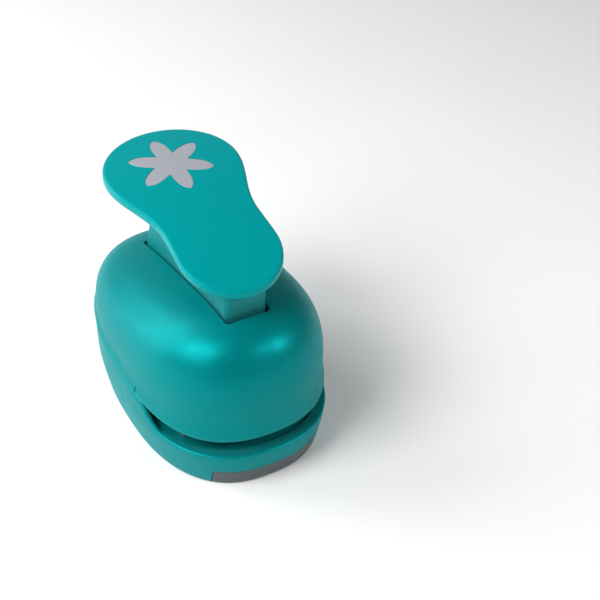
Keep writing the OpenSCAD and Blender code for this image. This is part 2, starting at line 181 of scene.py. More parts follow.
def dome_z(y, q, wall):
    rise = (1 - (1 - q) ** DOME_POWER) ** (1 / DOME_POWER)
    return mix(SHOULDER_H, top_z(y) - wall, rise)


def dome_height(points, wall):
    """Height of the dome over any x, y inside its outline, by halving the interval that holds q."""
    low = np.zeros(len(points))
    high = np.full(len(points), 0.9999)
    x, y = np.abs(points[:, 0]), points[:, 1] - MID_Y
    for _ in range(40):
        q = (low + high) / 2
        half_w, front, rear = dome_lengths(q, wall)
        length = np.where(y < 0, front, rear)
        outside = (x / half_w) ** BODY_POWER + (np.abs(y) / length) ** BODY_POWER > 1
        high = np.where(outside, q, high)
        low = np.where(outside, low, q)
    return dome_z(points[:, 1], low, wall)


def rounded_slot(half_w, low_y, high_y, radius, count=COLUMNS):
    """Rounded rectangle whose points run round in step with an egg's points."""
    corner_share, side_share = 0.25, 0.45
    quarter = []
    for k in range(count // 4):
        t = (k + 0.5) / (count // 4)
        if t < side_share:
            quarter.append(("side", t / side_share))
        elif t < side_share + corner_share:
            quarter.append(("corner", (t - side_share) / corner_share))
        else:
            quarter.append(("end", (t - side_share - corner_share) / (1 - side_share - corner_share)))
    points = []
    for number in range(4):
        run = quarter if number % 2 == 0 else quarter[::-1]
        sx = 1 if number in (0, 3) else -1
        end_y = high_y if number < 2 else low_y
        sy = 1 if number < 2 else -1
        for part, t in run:
            if part == "side":
                x, y = half_w, mix(MID_Y, end_y - sy * radius, t)
            elif part == "corner":
                x = half_w - radius + radius * math.cos(t * math.pi / 2)
                y = end_y - sy * radius + sy * radius * math.sin(t * math.pi / 2)
            else:
                x, y = mix(half_w - radius, 0, t), end_y
            points.append((sx * x, y))
    return np.array(points)


def plate_z(x, y):
    d = y - DIE_Y
    return PLATE_H + PLATE_SLOPE * d - PLATE_ARCH * d * d - PLATE_CROWN * x * x


def plate_outline(lobe_steps=64, side_steps=40):
    rear_w, rear_l, rear_y = REAR_LOBE
    front_w, front_l, front_y = FRONT_LOBE

    def side_w(y):
        back = mix(WAIST_W, rear_w, (1 - math.cos(math.pi * (y - MID_Y) / (rear_y - MID_Y))) / 2)
        fore = mix(WAIST_W, front_w, (1 - math.cos(math.pi * (MID_Y - y) / (MID_Y - front_y))) / 2)
        return back if y > MID_Y else fore

    rear = [
        (rear_w * math.cos(a), rear_y + rear_l * math.sin(a))
        for a in np.linspace(0, math.pi, lobe_steps)
    ]
    left_y = [mix(rear_y, front_y, k / side_steps) for k in range(1, side_steps)]
    front = [
        (front_w * math.cos(a), front_y + front_l * math.sin(a))
        for a in np.linspace(math.pi, 2 * math.pi, lobe_steps)
    ]
    return np.array(
        rear + [(-side_w(y), y) for y in left_y] + front + [(side_w(y), y) for y in reversed(left_y)]
    )


def flower_outline(grow=0.0, steps=24):
    """Six leaf-shaped petals of even width that narrow to their tips and meet in notches."""
    tip = FLOWER_R + grow

    def half_w(r):
        return (PETAL_HALF_W + grow) * max(1 - (r / tip) ** 6, 0) ** 0.85

    notch = next(r for r in np.linspace(1, 6, 500) if half_w(r) < r * math.tan(math.pi / 6))
    radii = [mix(notch, tip, math.sin(k / steps * math.pi / 2)) for k in range(steps)]
    side = [(r, half_w(r)) for r in radii]
    side[0] = (notch, notch * math.tan(math.pi / 6))
    petal = [(r, -w) for r, w in side[1:]] + [(tip, 0.0)] + [(r, w) for r, w in side[:0:-1]] + [side[0]]
    points = []
    for number in range(6):
        angle = math.radians(PETAL_TURN + 60 * number)
        c, s = math.cos(angle), math.sin(angle)
        points += [(r * c - w * s, r * s + w * c) for r, w in petal]
    return np.array(points)


# ---------------------------------------------------------------- mesh helpers

def make_object(name, verts, faces, smooth=True):
    mesh = bpy.data.meshes.new(name)
    points = [tuple(float(c) * MM for c in v) for v in verts]
    mesh.from_pydata(points, [], [tuple(int(i) for i in f) for f in faces])
    mesh.validate()
    mesh.update()
    obj = bpy.data.objects.new(name, mesh)
    bpy.context.scene.collection.objects.link(obj)
    fix_normals(obj)
    for poly in mesh.polygons:
        poly.use_smooth = smooth
    return obj


def fix_normals(obj):
    bm = bmesh.new()
    bm.from_mesh(obj.data)
    bmesh.ops.recalc_face_normals(bm, faces=bm.faces)
    bm.to_mesh(obj.data)
    bm.free()


def ring_faces(rings, closed):
    """Quads between successive rings of equal length; closed joins the last ring to the first."""
    count = len(rings[0])
    pairs = [(k, k + 1) for k in range(len(rings) - 1)] + ([(len(rings) - 1, 0)] if closed else [])
    i = np.arange(count)
    j = (i + 1) % count
    return [
        face
        for low, high in pairs
        for face in np.stack([low * count + i, low * count + j, high * count + j, high * count + i], 1)
    ]


def tube(name, rings):
    """Closed ring-shaped solid through a loop of rings."""
    return make_object(name, np.concatenate(rings), ring_faces(rings, True))


def capped(name, rings, low, high):
    """Closed solid through a stack of rings, with a fan to a point at each end."""
    count = len(rings[0])
    verts = np.concatenate([np.concatenate(rings), [low, high]])
    last = (len(rings) - 1) * count
    fans = [(i, (i + 1) % count, len(verts) - 2) for i in range(count)]
    fans += [(last + i, last + (i + 1) % count, len(verts) - 1) for i in range(count)]
    return make_object(name, verts, ring_faces(rings, False) + fans)


def block(name, low, high):
    x, y, z = zip(low, high)
    verts = [(a, b, c) for a in x for b in y for c in z]
    faces = [(0, 1, 3, 2), (4, 6, 7, 5), (0, 4, 5, 1), (2, 3, 7, 6), (0, 2, 6, 4), (1, 5, 7, 3)]
    return make_object(name, verts, faces, smooth=False)


def side_block(name, side, reach, y, z):
    """Block on the left (-1) or right (1) side, between two distances from the middle."""
    x = sorted(side * distance for distance in reach)
    return block(name, (x[0], y[0], z[0]), (x[1], y[1], z[1]))


def prism(name, outline, low_z, high_z):
    """Straight-sided solid over an outline."""
    count = len(outline)
    verts = np.concatenate([at(outline, low_z), at(outline, high_z)])
    faces = ring_faces([outline, outline], False) + [tuple(range(count)), tuple(range(count, 2 * count))]
    return make_object(name, verts, faces, smooth=False)


def apply_modifiers(obj):
    bpy.context.view_layer.update()
    graph = bpy.context.evaluated_depsgraph_get()
    mesh = bpy.data.meshes.new_from_object(obj.evaluated_get(graph))
    obj.modifiers.clear()
    obj.data = mesh


def drop(obj):
    bpy.data.objects.remove(obj)


def cut(obj, cutter, operation="DIFFERENCE"):
    """Exact boolean of obj with cutter, which is used up."""
    step = obj.modifiers.new("cut", "BOOLEAN")
    step.object = cutter
    step.operation = operation
    step.solver = "EXACT"
    apply_modifiers(obj)
    drop(cutter)


def sharpen(obj, angle=35):
    """Smooth shading that stays crisp across edges steeper than angle."""
    for poly in obj.data.polygons:
        poly.use_smooth = True
    obj.data.set_sharp_from_angle(angle=math.radians(angle))


def surface_of(obj):
    """A copy of an object's surface with its smooth normals, to shade cut meshes by."""
    mesh = obj.data
    mesh.calc_loop_triangles()
    verts = [v.co.copy() for v in mesh.vertices]
    normals = [v.normal.copy() for v in mesh.vertices]
    tris = [tuple(t.vertices) for t in mesh.loop_triangles]
    return BVHTree.FromPolygons(verts, tris), verts, normals, tris


def shade_like(obj, surface, reach=0.02, agree=0.8):
    """Gives faces that lie on the original surface that surface's own smooth normals."""
    tree, verts, normals, tris = surface
    mesh = obj.data
    sharpen(obj)
    mesh.update()
    corner = [n.vector.copy() for n in mesh.corner_normals]
    for poly in mesh.polygons:
        for loop in poly.loop_indices:
            co = mesh.vertices[mesh.loops[loop].vertex_index].co
            found, _, index, dist = tree.find_nearest(co)
            if found is None or dist > reach * MM:
                continue
            a, b, c = tris[index]
            wa, wb, wc = barycentric(found, verts[a], verts[b], verts[c])
            smooth = (normals[a] * wa + normals[b] * wb + normals[c] * wc).normalized()
            if smooth.dot(poly.normal) > agree:
                corner[loop] = smooth
    mesh.normals_split_custom_set([tuple(n) for n in corner])


def barycentric(p, a, b, c):
    u, v, w = b - a, c - a, p - a
    uu, uv, vv, wu, wv = u.dot(u), u.dot(v), v.dot(v), w.dot(u), w.dot(v)
    det = uu * vv - uv * uv
    if abs(det) < 1e-30:
        return 1.0, 0.0, 0.0
    s = (vv * wu - uv * wv) / det
    t = (uu * wv - uv * wu) / det
    return 1 - s - t, s, t


def disc(x, y, r, count=48):
    a = np.arange(count) * 2 * np.pi / count
    return np.stack([x + r * np.cos(a), y + r * np.sin(a)], 1)


def rod(name, x, y, r, low_z, high_z):
    return prism(name, disc(x, y, r), low_z, high_z)


def joined(name, parts):
    """One object from several, all with the same mesh frame."""
    bm = bmesh.new()
    for part in parts:
        bm.from_mesh(part.data)
    mesh = bpy.data.meshes.new(name)
    bm.to_mesh(mesh)
    bm.free()
    for part in parts:
        drop(part)
    obj = bpy.data.objects.new(name, mesh)
    bpy.context.scene.collection.objects.link(obj)
    return obj


def clean(obj):
    """Welds doubled points and removes faces without area."""
    bm = bmesh.new()
    bm.from_mesh(obj.data)
    bmesh.ops.remove_doubles(bm, verts=bm.verts, dist=0.004 * MM)
    bmesh.ops.dissolve_degenerate(bm, edges=bm.edges, dist=0.002 * MM)
    bmesh.ops.recalc_face_normals(bm, faces=bm.faces)
    bm.to_mesh(obj.data)
    bm.free()


# ---------------------------------------------------------------- housing

BOSSES = [(side * x, y) for x, y in ((21.9, -2.0), (14.0, 27.0)) for side in (-1, 1)]
BOSS_R = 2.4
SLEEVE_R = 3.0
SCREW_R = 1.1
HEAD_R = 2.0
HEAD_SEAT_Z = 4.0
BOSS_FOOT_Z = 12.0
LIP_ROUND = 0.4
SLOT_EDGE = 0.4
NOTCH_Y = (-11.8, -11.3)
NOTCH_Z = (15, 22.5)
NOTCH_DEPTH = 0.8


def wall_inset(t):
    """Draft of the body's upright walls, which end upright at the shoulder."""
    return BODY_DRAFT * (1 - (1 - t) ** 1.5)


def body_side(wall, steps=7):
    rings = []
    for t in np.linspace(0, 1, steps):
        side = body_egg(wall_inset(t) + wall)
        rings.append(at(side, mix(seam_z(side[:, 1]) + LIP_ROUND, SHOULDER_H, t)))
    return rings


def body_dome(wall, steps=30):
    rings = []
    for u in np.linspace(0, 1, steps)[1:]:
        q = DOME_OPEN * u**3
        outline = egg(*dome_lengths(q, wall), BODY_POWER)
        rings.append(at(outline, dome_z(outline[:, 1], q, wall)))
    return rings


def slot_outline(grow):
    return rounded_slot(SLOT_HALF_W + grow, SLOT_FRONT_Y - grow, SLOT_REAR_Y + grow, SLOT_ROUND + grow)


def body_top(wall, grow, steps):
    """From the dome's open outline in to the lever slot."""
    outer = egg(*dome_lengths(DOME_OPEN, wall), BODY_POWER)
    inner = slot_outline(grow)
    outlines = [mix(outer, inner, t) for t in np.linspace(0, 1, steps)[1:]]
    return [at(outline, dome_height(outline, wall)) for outline in outlines]


def body_surface_rings():
    lower_lip = []
    for a in np.radians([0, 30, 60]):
        side = body_egg(LIP_ROUND * (1 - math.sin(a)))
        lower_lip.append(at(side, seam_z(side[:, 1]) + LIP_ROUND * (1 - math.cos(a))))
    slot_edge = []
    for a in np.radians([22, 45, 68, 90]):
        edge = slot_outline(SLOT_EDGE * (1 - math.sin(a)))
        slot_edge.append(at(edge, dome_height(edge, 0) - SLOT_EDGE * (1 - math.cos(a))))
    inside = body_side(BODY_WALL, 4) + body_dome(BODY_WALL, 16) + body_top(BODY_WALL, 0.0, 5)
    foot = body_egg(BODY_WALL - 0.2)
    return (
        lower_lip
        + body_side(0)
        + body_dome(0)
        + body_top(0, SLOT_EDGE, 12)
        + slot_edge
        + inside[::-1]
        + [at(foot, seam_z(foot[:, 1]))]
    )


def make_body():
    shell = tube("body_cover", body_surface_rings())
    surface = surface_of(shell)
    inside = capped(
        "inside",
        [at(body_egg(1.0), BOSS_FOOT_Z - 2)] + body_dome(1.0, 14),
        (0, MID_Y, BOSS_FOOT_Z - 2),
        (0, MID_Y, top_z(MID_Y) - 1),
    )
    bosses = joined("bosses", [rod("boss", x, y, BOSS_R, BOSS_FOOT_Z, TOP_H) for x, y in BOSSES])
    cut(bosses, inside, "INTERSECT")
    cut(shell, bosses, "UNION")
    for x, y in BOSSES:
        cut(shell, rod("bore", x, y, SCREW_R, BOSS_FOOT_Z - 1, BOSS_FOOT_Z + 9))
    for side in (-1, 1):
        cut(shell, side_block("notch", side, (BODY_HALF_W - NOTCH_DEPTH, 30), NOTCH_Y, NOTCH_Z))
    shade_like(shell, surface)
    return shell


def base_inset(z):
    return BASE_DRAFT * (1 - z / RIM_H) ** 1.32


def base_lower(inset=0.0, round_r=0.5, steps=9):
    """Rings of the base from its rounded bottom edge up to the rim."""
    rings = [
        at(base_egg(base_inset(0) + round_r * (1 - math.sin(a)) + inset), round_r * (1 - math.cos(a)))
        for a in np.radians([0, 30, 60])
    ]
    return rings + [at(base_egg(base_inset(z) + inset), z) for z in np.linspace(round_r, RIM_H, steps)]


def mouth_share(y):
    """0 in front of the paper mouth, 1 where the base's walls stand up to the seam."""
    return ease((y - MOUTH_END_Y) / MOUTH_RISE + 1)


def base_upper(t, edge_in=0.0):
    """Ring over the rim: rounded to the ledge in front of the mouth, up to the seam elsewhere.

    t goes from 0 to 1 over the rounding; edge_in sets the ring at the ledge's inner edge."""
    share = mouth_share(base_egg(0)[:, 1])
    turn, climb = 1 - math.cos(t * math.pi / 2), 1 - math.sin(t * math.pi / 2)
    side = body_egg(max(SEAM_LEAN + SEAM_ROUND[0] * turn, edge_in))
    outline = side if edge_in else mix(base_egg(LEDGE_INSET * turn), side, share[:, None])
    top = mix(LEDGE_H, seam_z(side[:, 1]) - SEAM_GAP, share)
    return at(outline, top - mix(LEDGE_ROUND_H, SEAM_ROUND[1], share) * climb)


def base_surface_rings():
    rim = base_lower()[-1]
    wall_top = base_upper(0)
    top = base_upper(1, TABLE_EDGE_IN)
    walled = ease((rim[:, 1] - MOUTH_END_Y - 1.5) / 1.5)
    low_z = LEDGE_H - TABLE_DROP

    def inner(in_mouth, by_wall, z):
        return at(mix(in_mouth, by_wall, walled[:, None]), mix(low_z, z, walled))

    lip_z = top[:, 2] + LIP_H + SEAM_GAP
    hole = egg(*TABLE_HOLE, BODY_POWER)
    return (
        base_lower()
        + [mix(rim, wall_top, t) for t in (0.25, 0.5, 0.75)]
        + [base_upper(t) for t in np.linspace(0, 1, 9)]
        + [top, inner(body_egg(TABLE_EDGE_IN + 0.05), body_egg(LIP_IN), top[:, 2])]
        + [inner(body_egg(TABLE_EDGE_IN + 0.3), body_egg(LIP_IN), lip_z)]
        + [inner(body_egg(3.0), body_egg(3.8), lip_z), inner(body_egg(3.4), base_egg(3.8), low_z)]
        + [at(hole, low_z), at(hole, LEDGE_H - TABLE_T), at(base_egg(BASE_WALL), LEDGE_H - TABLE_T)]
        + [at(base_egg(BASE_WALL + BASE_DRAFT - 0.17), 0)]
    )


def base_block(name="base_form", inset=0.0):
    return capped(name, base_lower(inset), (0, MID_Y, 0), (0, MID_Y, RIM_H))


RAIL_X = (15.9, 20.6)
RAIL_Y = (-36, 16)
RAIL_Z = (0.8, 10.7)
DIE_POCKET = (19.55, -25.1, 17.1)  # half width, front y, rear y
DIE_POCKET_Z = 7.7
DIE_MOUNTS = [(x, y) for x in (-18.2, 18.2) for y in (-21, 13)]
MOUNT_SEAT_Z = 2.4
MOUNT_SCREW_R = 1.05
TRAY_STOP_Y = -32.3
GROOVE_DEPTH = 1.2
GROOVE_Z = (3.65, 4.95)


def make_base():
    shell = tube("base_tub", base_surface_rings())
    clean(shell)
    surface = surface_of(shell)
    ribs = [side_block("rail", side, RAIL_X, RAIL_Y, RAIL_Z) for side in (-1, 1)]
    ribs += [rod("sleeve", x, y, SLEEVE_R, 1.2, LEDGE_H - 0.4) for x, y in BOSSES]
    for rib in ribs:
        cut(rib, base_block(inset=0.6), "INTERSECT")
        cut(shell, rib, "UNION")
    half_w, front_y, rear_y = DIE_POCKET
    cut(shell, block("pocket", (-half_w, front_y, DIE_POCKET_Z), (half_w, rear_y, 25)))
    cut(shell, block("tray_way", (-TRAY_HALF_W - 0.2, -45, -1), (TRAY_HALF_W + 0.2, -25, TRAY_TOP + 0.15)))
    groove_x = RAIL_X[0] + GROOVE_DEPTH
    low, high = GROOVE_Z
    cut(shell, block("groove", (-groove_x, TRAY_STOP_Y, low), (groove_x, TRAY_REAR_Y + 1, high)))
    for x, y in BOSSES:
        cut(shell, rod("well", x, y, BOSS_R + 0.2, LEDGE_H, 45))
        cut(shell, rod("bore", x, y, SCREW_R, -1, LEDGE_H + 1))
        cut(shell, rod("seat", x, y, HEAD_R + 0.2, -1, HEAD_SEAT_Z))
    for x, y in DIE_MOUNTS:
        cut(shell, rod("bore", x, y, MOUNT_SCREW_R, -1, LEDGE_H - 1))
        cut(shell, rod("seat", x, y, 1.8, -2, MOUNT_SEAT_Z))
    shade_like(shell, surface)
    return shell


def make_tray():
    tray = base_block("chip_drawer")
    surface = surface_of(tray)
    keep = block("keep", (-TRAY_HALF_W, -45, TRAY_FLOOR_Z), (TRAY_HALF_W, TRAY_REAR_Y, TRAY_TOP))
    cut(tray, keep, "INTERSECT")
    hollow = base_block("hollow", TRAY_WALL + 0.4)
    low = (-TRAY_HALF_W + TRAY_WALL, -45, TRAY_FLOOR_Z + 1)
    high = (TRAY_HALF_W - TRAY_WALL, TRAY_REAR_Y - TRAY_WALL, TRAY_TOP + 1)
    cut(hollow, block("room", low, high), "INTERSECT")
    cut(tray, hollow)
    for side in (-1, 1):
        reach = (TRAY_HALF_W - 0.5, TRAY_HALF_W + 1.2)
        cut(tray, side_block("flange", side, reach, (0, TRAY_REAR_Y), (3.8, 4.8)), "UNION")
    shade_like(tray, surface)
    return tray


# ---------------------------------------------------------------- lever

PLATE_EDGE = 0.7
PLATE_UNDER_EDGE = 0.6
POCKET_T = 0.4


def offset_in(outline, inset):
    """The outline moved inwards along its own normals."""
    tangent = np.roll(outline, -1, 0) - np.roll(outline, 1, 0)
    tangent /= np.linalg.norm(tangent, axis=1)[:, None]
    inward = np.stack([-tangent[:, 1], tangent[:, 0]], 1)
    return outline + inward * inset


def plate_ring(outline, depth):
    return at(outline, plate_z(outline[:, 0], outline[:, 1]) - depth)


def make_plate():
    edge = plate_outline()
    rings = []
    for s in (0.15, 0.3, 0.45, 0.6, 0.75, 0.88, 0.96):
        rings.append(plate_ring(offset_in(edge, PLATE_UNDER_EDGE) * s, PLATE_T))
    for a in np.radians([0, 22, 45, 68, 90]):
        inset, depth = PLATE_UNDER_EDGE * (1 - math.sin(a)), PLATE_UNDER_EDGE * (1 - math.cos(a))
        rings.append(plate_ring(offset_in(edge, inset), PLATE_T - depth))
    for a in np.radians([90, 72, 54, 36, 18, 0]):
        inset, depth = PLATE_EDGE * (1 - math.sin(a)), PLATE_EDGE * (1 - math.cos(a))
        rings.append(plate_ring(offset_in(edge, inset), depth))
    for s in (0.98, 0.95, *np.linspace(0.91, 0.07, 22)):
        rings.append(plate_ring(offset_in(edge, PLATE_EDGE) * s, 0))
    plate = capped("thumb_plate", rings, (0, 0, plate_z(0, 0) - PLATE_T), (0, 0, plate_z(0, 0)))
    surface = surface_of(plate)
    cut(plate, flower_block("pocket", 0.04, POCKET_T, -2))
    shade_like(plate, surface)
    return plate


def flower_block(name, grow, low, high, chamfer=0.0):
    """Solid flower between two depths below the plate's surface."""
    outline = flower_outline(grow)

    def ring(s, depth):
        return plate_ring(outline * s + np.array([0, MOTIF_Y]), depth)

    shares = (0.2, 0.4, 0.6, 0.8)
    rings = [ring(s, low) for s in (*shares, 1)]
    rings += [ring(1, high + chamfer)] + ([ring(1 - chamfer / 4, high)] if chamfer else [])
    rings += [ring(s, high) for s in shares[::-1]]
    centre_z = plate_z(0, MOTIF_Y)
    return capped(name, rings, (0, MOTIF_Y, centre_z - low), (0, MOTIF_Y, centre_z - high))


def make_inlay():
    inlay = flower_block("flower_badge", 0.0, POCKET_T - 0.01, 0.06, 0.08)
    sharpen(inlay, 12)
    return inlay


# ---------------------------------------------------------------- springs and screws

SPRING_LOW_Z = 15.3
SPRING_HIGH_Z = 21.9
SPRING_R = 3.0
WIRE_R = 0.25
POST_X = 14.3


def make_spring(name, x):
    """Coil of wire with closed end turns."""
    turns, turn_steps, sides = 5, 36, 10
    bottom, top = SPRING_LOW_Z + WIRE_R + 0.05, SPRING_HIGH_Z - WIRE_R - 0.05
    rings = []
    for k in range(turns * turn_steps + 1):
        t = k / (turns * turn_steps)
        a = t * turns * 2 * math.pi
        z = mix(bottom, top, mix(t, ease(t), 0.55))
        b = np.arange(sides) * 2 * np.pi / sides
        r = SPRING_R + WIRE_R * np.cos(b)
        rings.append(np.stack([x + r * math.cos(a), DIE_Y + r * math.sin(a), z + WIRE_R * np.sin(b)], 1))
    spring = capped(name, rings, rings[0].mean(0), rings[-1].mean(0))
    sharpen(spring, 50)
    return spring


def make_screw(x, y, seat_z, head_r, head_t, shank_r, length, up):
    """Cross-head screw; up is 1 where its head is above the seat and -1 where it is below."""
    profile = [(shank_r * 0.5, -length), (shank_r, -length + shank_r * 0.7), (shank_r, 0)]
    profile += [(head_r - 0.12, 0), (head_r, 0.12), (head_r, head_t * 0.45)]
    for a in np.radians([20, 40, 60, 76]):
        profile.append((head_r * math.cos(a), mix(head_t * 0.45, head_t, math.sin(a))))
    rings = [at(disc(x, y, r, 32), seat_z + up * z) for r, z in profile]
    screw = capped("screw", rings, (x, y, seat_z - up * length), (x, y, seat_z + up * head_t))
    low, high = sorted((seat_z + up * head_t * 0.35, seat_z + up * (head_t + 1)))
    arm, half = head_r * 0.55, head_r * 0.11
    for dx, dy in ((arm, half), (half, arm)):
        cut(screw, block("cross", (x - dx, y - dy, low), (x + dx, y + dy, high)))
    return screw


def make_screws(name, spots, **size):
    screws = joined(name, [make_screw(x, y, **size) for x, y in spots])
    sharpen(screws, 30)
    return screws


# ---------------------------------------------------------------- materials

def srgb(r, g, b):
    """Linear colour of an 8-bit sRGB one."""
    shares = (c / 255 for c in (r, g, b))
    linear = (c / 12.92 if c <= 0.04045 else ((c + 0.055) / 1.055) ** 2.4 for c in shares)
    return (*linear, 1.0)


def scaled(color, k):
    return tuple(c * k for c in color[:3]) + (1.0,)


WHITE = (1.0, 1.0, 1.0, 1.0)
TEAL_GLOSS = (0.06, 0.9, 0.95, 1.0)


class Shader:
    """A node material with object coordinates in millimetres."""

    def __init__(self, name):
        self.material = bpy.data.materials.new(name)
        self.material.use_nodes = True
        self.tree = self.material.node_tree
        self.bsdf = self.tree.nodes["Principled BSDF"]
        coords = self.node("ShaderNodeTexCoord")
        scale = self.node("ShaderNodeVectorMath", operation="SCALE")
        scale.inputs["Scale"].default_value = 1000.0
        self.link(coords.outputs["Object"], scale.inputs[0])
        self.mm = scale.outputs["Vector"]

    def node(self, kind, **settings):
        made = self.tree.nodes.new(kind)
        for key, value in settings.items():
            setattr(made, key, value)
        return made

    def link(self, source, target):
        self.tree.links.new(source, target)

    def stretched(self, x, y, z):
        """Coordinates scaled along each axis, for brushed and ground finishes."""
        mapping = self.node("ShaderNodeMapping")
        mapping.inputs["Scale"].default_value = (x, y, z)
        self.link(self.mm, mapping.inputs["Vector"])
        return mapping.outputs["Vector"]

    def noise(self, size, detail=2.0, rough=0.5, coords=None):
        """Noise whose features are about size mm across."""
        made = self.node("ShaderNodeTexNoise")
        made.inputs["Scale"].default_value = 1 / size
        made.inputs["Detail"].default_value = detail
        made.inputs["Roughness"].default_value = rough
        self.link(coords or self.mm, made.inputs["Vector"])
        return made.outputs["Fac"]

    def ramp(self, value, low, high, start=0.35, end=0.65):
        made = self.node("ShaderNodeMapRange")
        for name, number in (("From Min", start), ("From Max", end), ("To Min", low), ("To Max", high)):
            made.inputs[name].default_value = number
        self.link(value, made.inputs["Value"])
        return made.outputs["Result"]

    def blend(self, factor, a, b):
        made = self.node("ShaderNodeMix", data_type="RGBA")
        self.link(factor, made.inputs["Factor"])
        for socket, color in ((made.inputs["A"], a), (made.inputs["B"], b)):
            if isinstance(color, tuple):
                socket.default_value = color
            else:
                self.link(color, socket)
        return made.outputs["Result"]

    def bump(self, height, strength, distance, onto=None):
        made = self.node("ShaderNodeBump")
        made.inputs["Strength"].default_value = strength
        made.inputs["Distance"].default_value = distance * MM
        self.link(height, made.inputs["Height"])
        if onto:
            self.link(onto, made.inputs["Normal"])
        return made.outputs["Normal"]

    def set(self, **values):
        for key, value in values.items():
            socket = self.bsdf.inputs[key.replace("_", " ")]
            if hasattr(value, "node"):
                self.link(value, socket)
            else:
                socket.default_value = value
        return self.material


def edge_lines(shader, low, high):
    """1 on sharp convex edges and 0 on flat faces."""
    geometry = shader.node("ShaderNodeNewGeometry")
    return shader.ramp(geometry.outputs["Pointiness"], 0.0, 1.0, low, high)


def moulded_plastic(
    name, color, roughness, grain, grain_strength, cloud=0.06, pearl=0.0, shine=0.5, tint=WHITE, edge_highlight=0.0
):
    """Dyed moulded plastic: flow clouds in the colour, fine spark-eroded grain, uneven gloss.

    pearl is the share of the light that the pigment reflects in its own colour, tint the colour
    of the gloss and the last argument the strength of the painted highlight, paler colour on convex edges."""
    shader = Shader(name)
    clouds = shader.noise(14.0, detail=3.0)
    tone = shader.blend(shader.ramp(clouds, 0, 1), scaled(color, 1 - cloud), scaled(color, 1 + cloud))
    grains = shader.ramp(shader.noise(grain, detail=1.0), 0, 1)
    tone = shader.blend(grains, tone, scaled(color, 1.05))
    # Painted highlight: convex edges turn paler, standing in for light caught on the rounded rims.
    edge_highlight_mask = shader.node("ShaderNodeMath", operation="MULTIPLY")
    edge_highlight_mask.inputs[1].default_value = edge_highlight
    shader.link(edge_lines(shader, 0.51, 0.58), edge_highlight_mask.inputs[0])
    tone = shader.blend(edge_highlight_mask.outputs[0], tone, tuple(c * 1.15 + 0.06 for c in color[:3]) + (1.0,))
    gloss = shader.ramp(shader.noise(3.0, detail=4.0), roughness - 0.03, roughness + 0.03)
    fine = shader.bump(shader.noise(grain, detail=2.0, rough=0.6), grain_strength, 0.03)
    normal = shader.bump(shader.noise(9.0, detail=1.0), 0.05, 0.1, fine)
    shader.set(Base_Color=tone, Roughness=gloss, Normal=normal, Metallic=pearl)
    return shader.set(IOR=1.46, Specular_IOR_Level=shine, Specular_Tint=tint)


def print_film(name, color):
    """Silver-lilac foil print with a fine pearl fleck."""
    shader = Shader(name)
    fleck = shader.ramp(shader.noise(0.22, detail=1.0), 0, 1, 0.4, 0.62)
    tone = shader.blend(fleck, scaled(color, 0.93), scaled(color, 1.06))
    sheen = shader.ramp(shader.noise(5.0, detail=2.0), 0, 0.35)
    tone = shader.blend(sheen, tone, scaled(color, 1.04))
    gloss = shader.ramp(shader.noise(1.2, detail=3.0), 0.36, 0.46)
    normal = shader.bump(shader.noise(0.3, detail=2.0), 0.12, 0.02)
    return shader.set(Base_Color=tone, Roughness=gloss, Normal=normal, Metallic=0.25)


def cast_metal(name, color, roughness, grain):
    """Die-cast or tumbled metal: mottled tone, pitted skin, brighter rubbed edges."""
    shader = Shader(name)
    mottle = shader.ramp(shader.noise(2.5, detail=5.0), 0, 1)
    tone = shader.blend(mottle, scaled(color, 0.84), scaled(color, 1.08))
    tone = shader.blend(edge_lines(shader, 0.52, 0.6), tone, scaled(color, 1.25))
    gloss = shader.ramp(shader.noise(1.1, detail=4.0), roughness - 0.08, roughness + 0.1)
    pits = shader.bump(shader.noise(grain, detail=3.0, rough=0.7), 0.25, 0.04)
    return shader.set(Base_Color=tone, Roughness=gloss, Normal=pits, Metallic=1.0)


def drawn_steel(name, color, roughness, along):
    """Ground or drawn steel with fine lines along one axis."""
    shader = Shader(name)
    scale = [18.0, 18.0, 18.0]
    scale["xyz".index(along)] = 0.4
    lines = shader.noise(1.0, detail=3.0, rough=0.6, coords=shader.stretched(*scale))
    tone = shader.blend(shader.ramp(lines, 0, 1), scaled(color, 0.86), scaled(color, 1.06))
    stain = shader.ramp(shader.noise(4.0, detail=3.0), 0, 0.3)
    tone = shader.blend(stain, tone, scaled(color, 0.8))
    gloss = shader.ramp(lines, roughness - 0.06, roughness + 0.08)
    return shader.set(Base_Color=tone, Roughness=gloss, Normal=shader.bump(lines, 0.2, 0.02), Metallic=1.0)


def floor_paper(name, color):
    shader = Shader(name)
    tone = shader.blend(shader.ramp(shader.noise(60.0, detail=2.0), 0, 1), scaled(color, 0.985), color)
    return shader.set(Base_Color=tone, Roughness=0.9, Normal=shader.bump(shader.noise(0.6), 0.02, 0.05))


def paint(obj, material):
    if obj.material_slots:
        for slot in obj.material_slots:
            slot.material = material
    else:
        obj.data.materials.append(material)


SHELL_TEAL = srgb(0, 130, 132)
PLATE_TEAL = srgb(0, 145, 148)

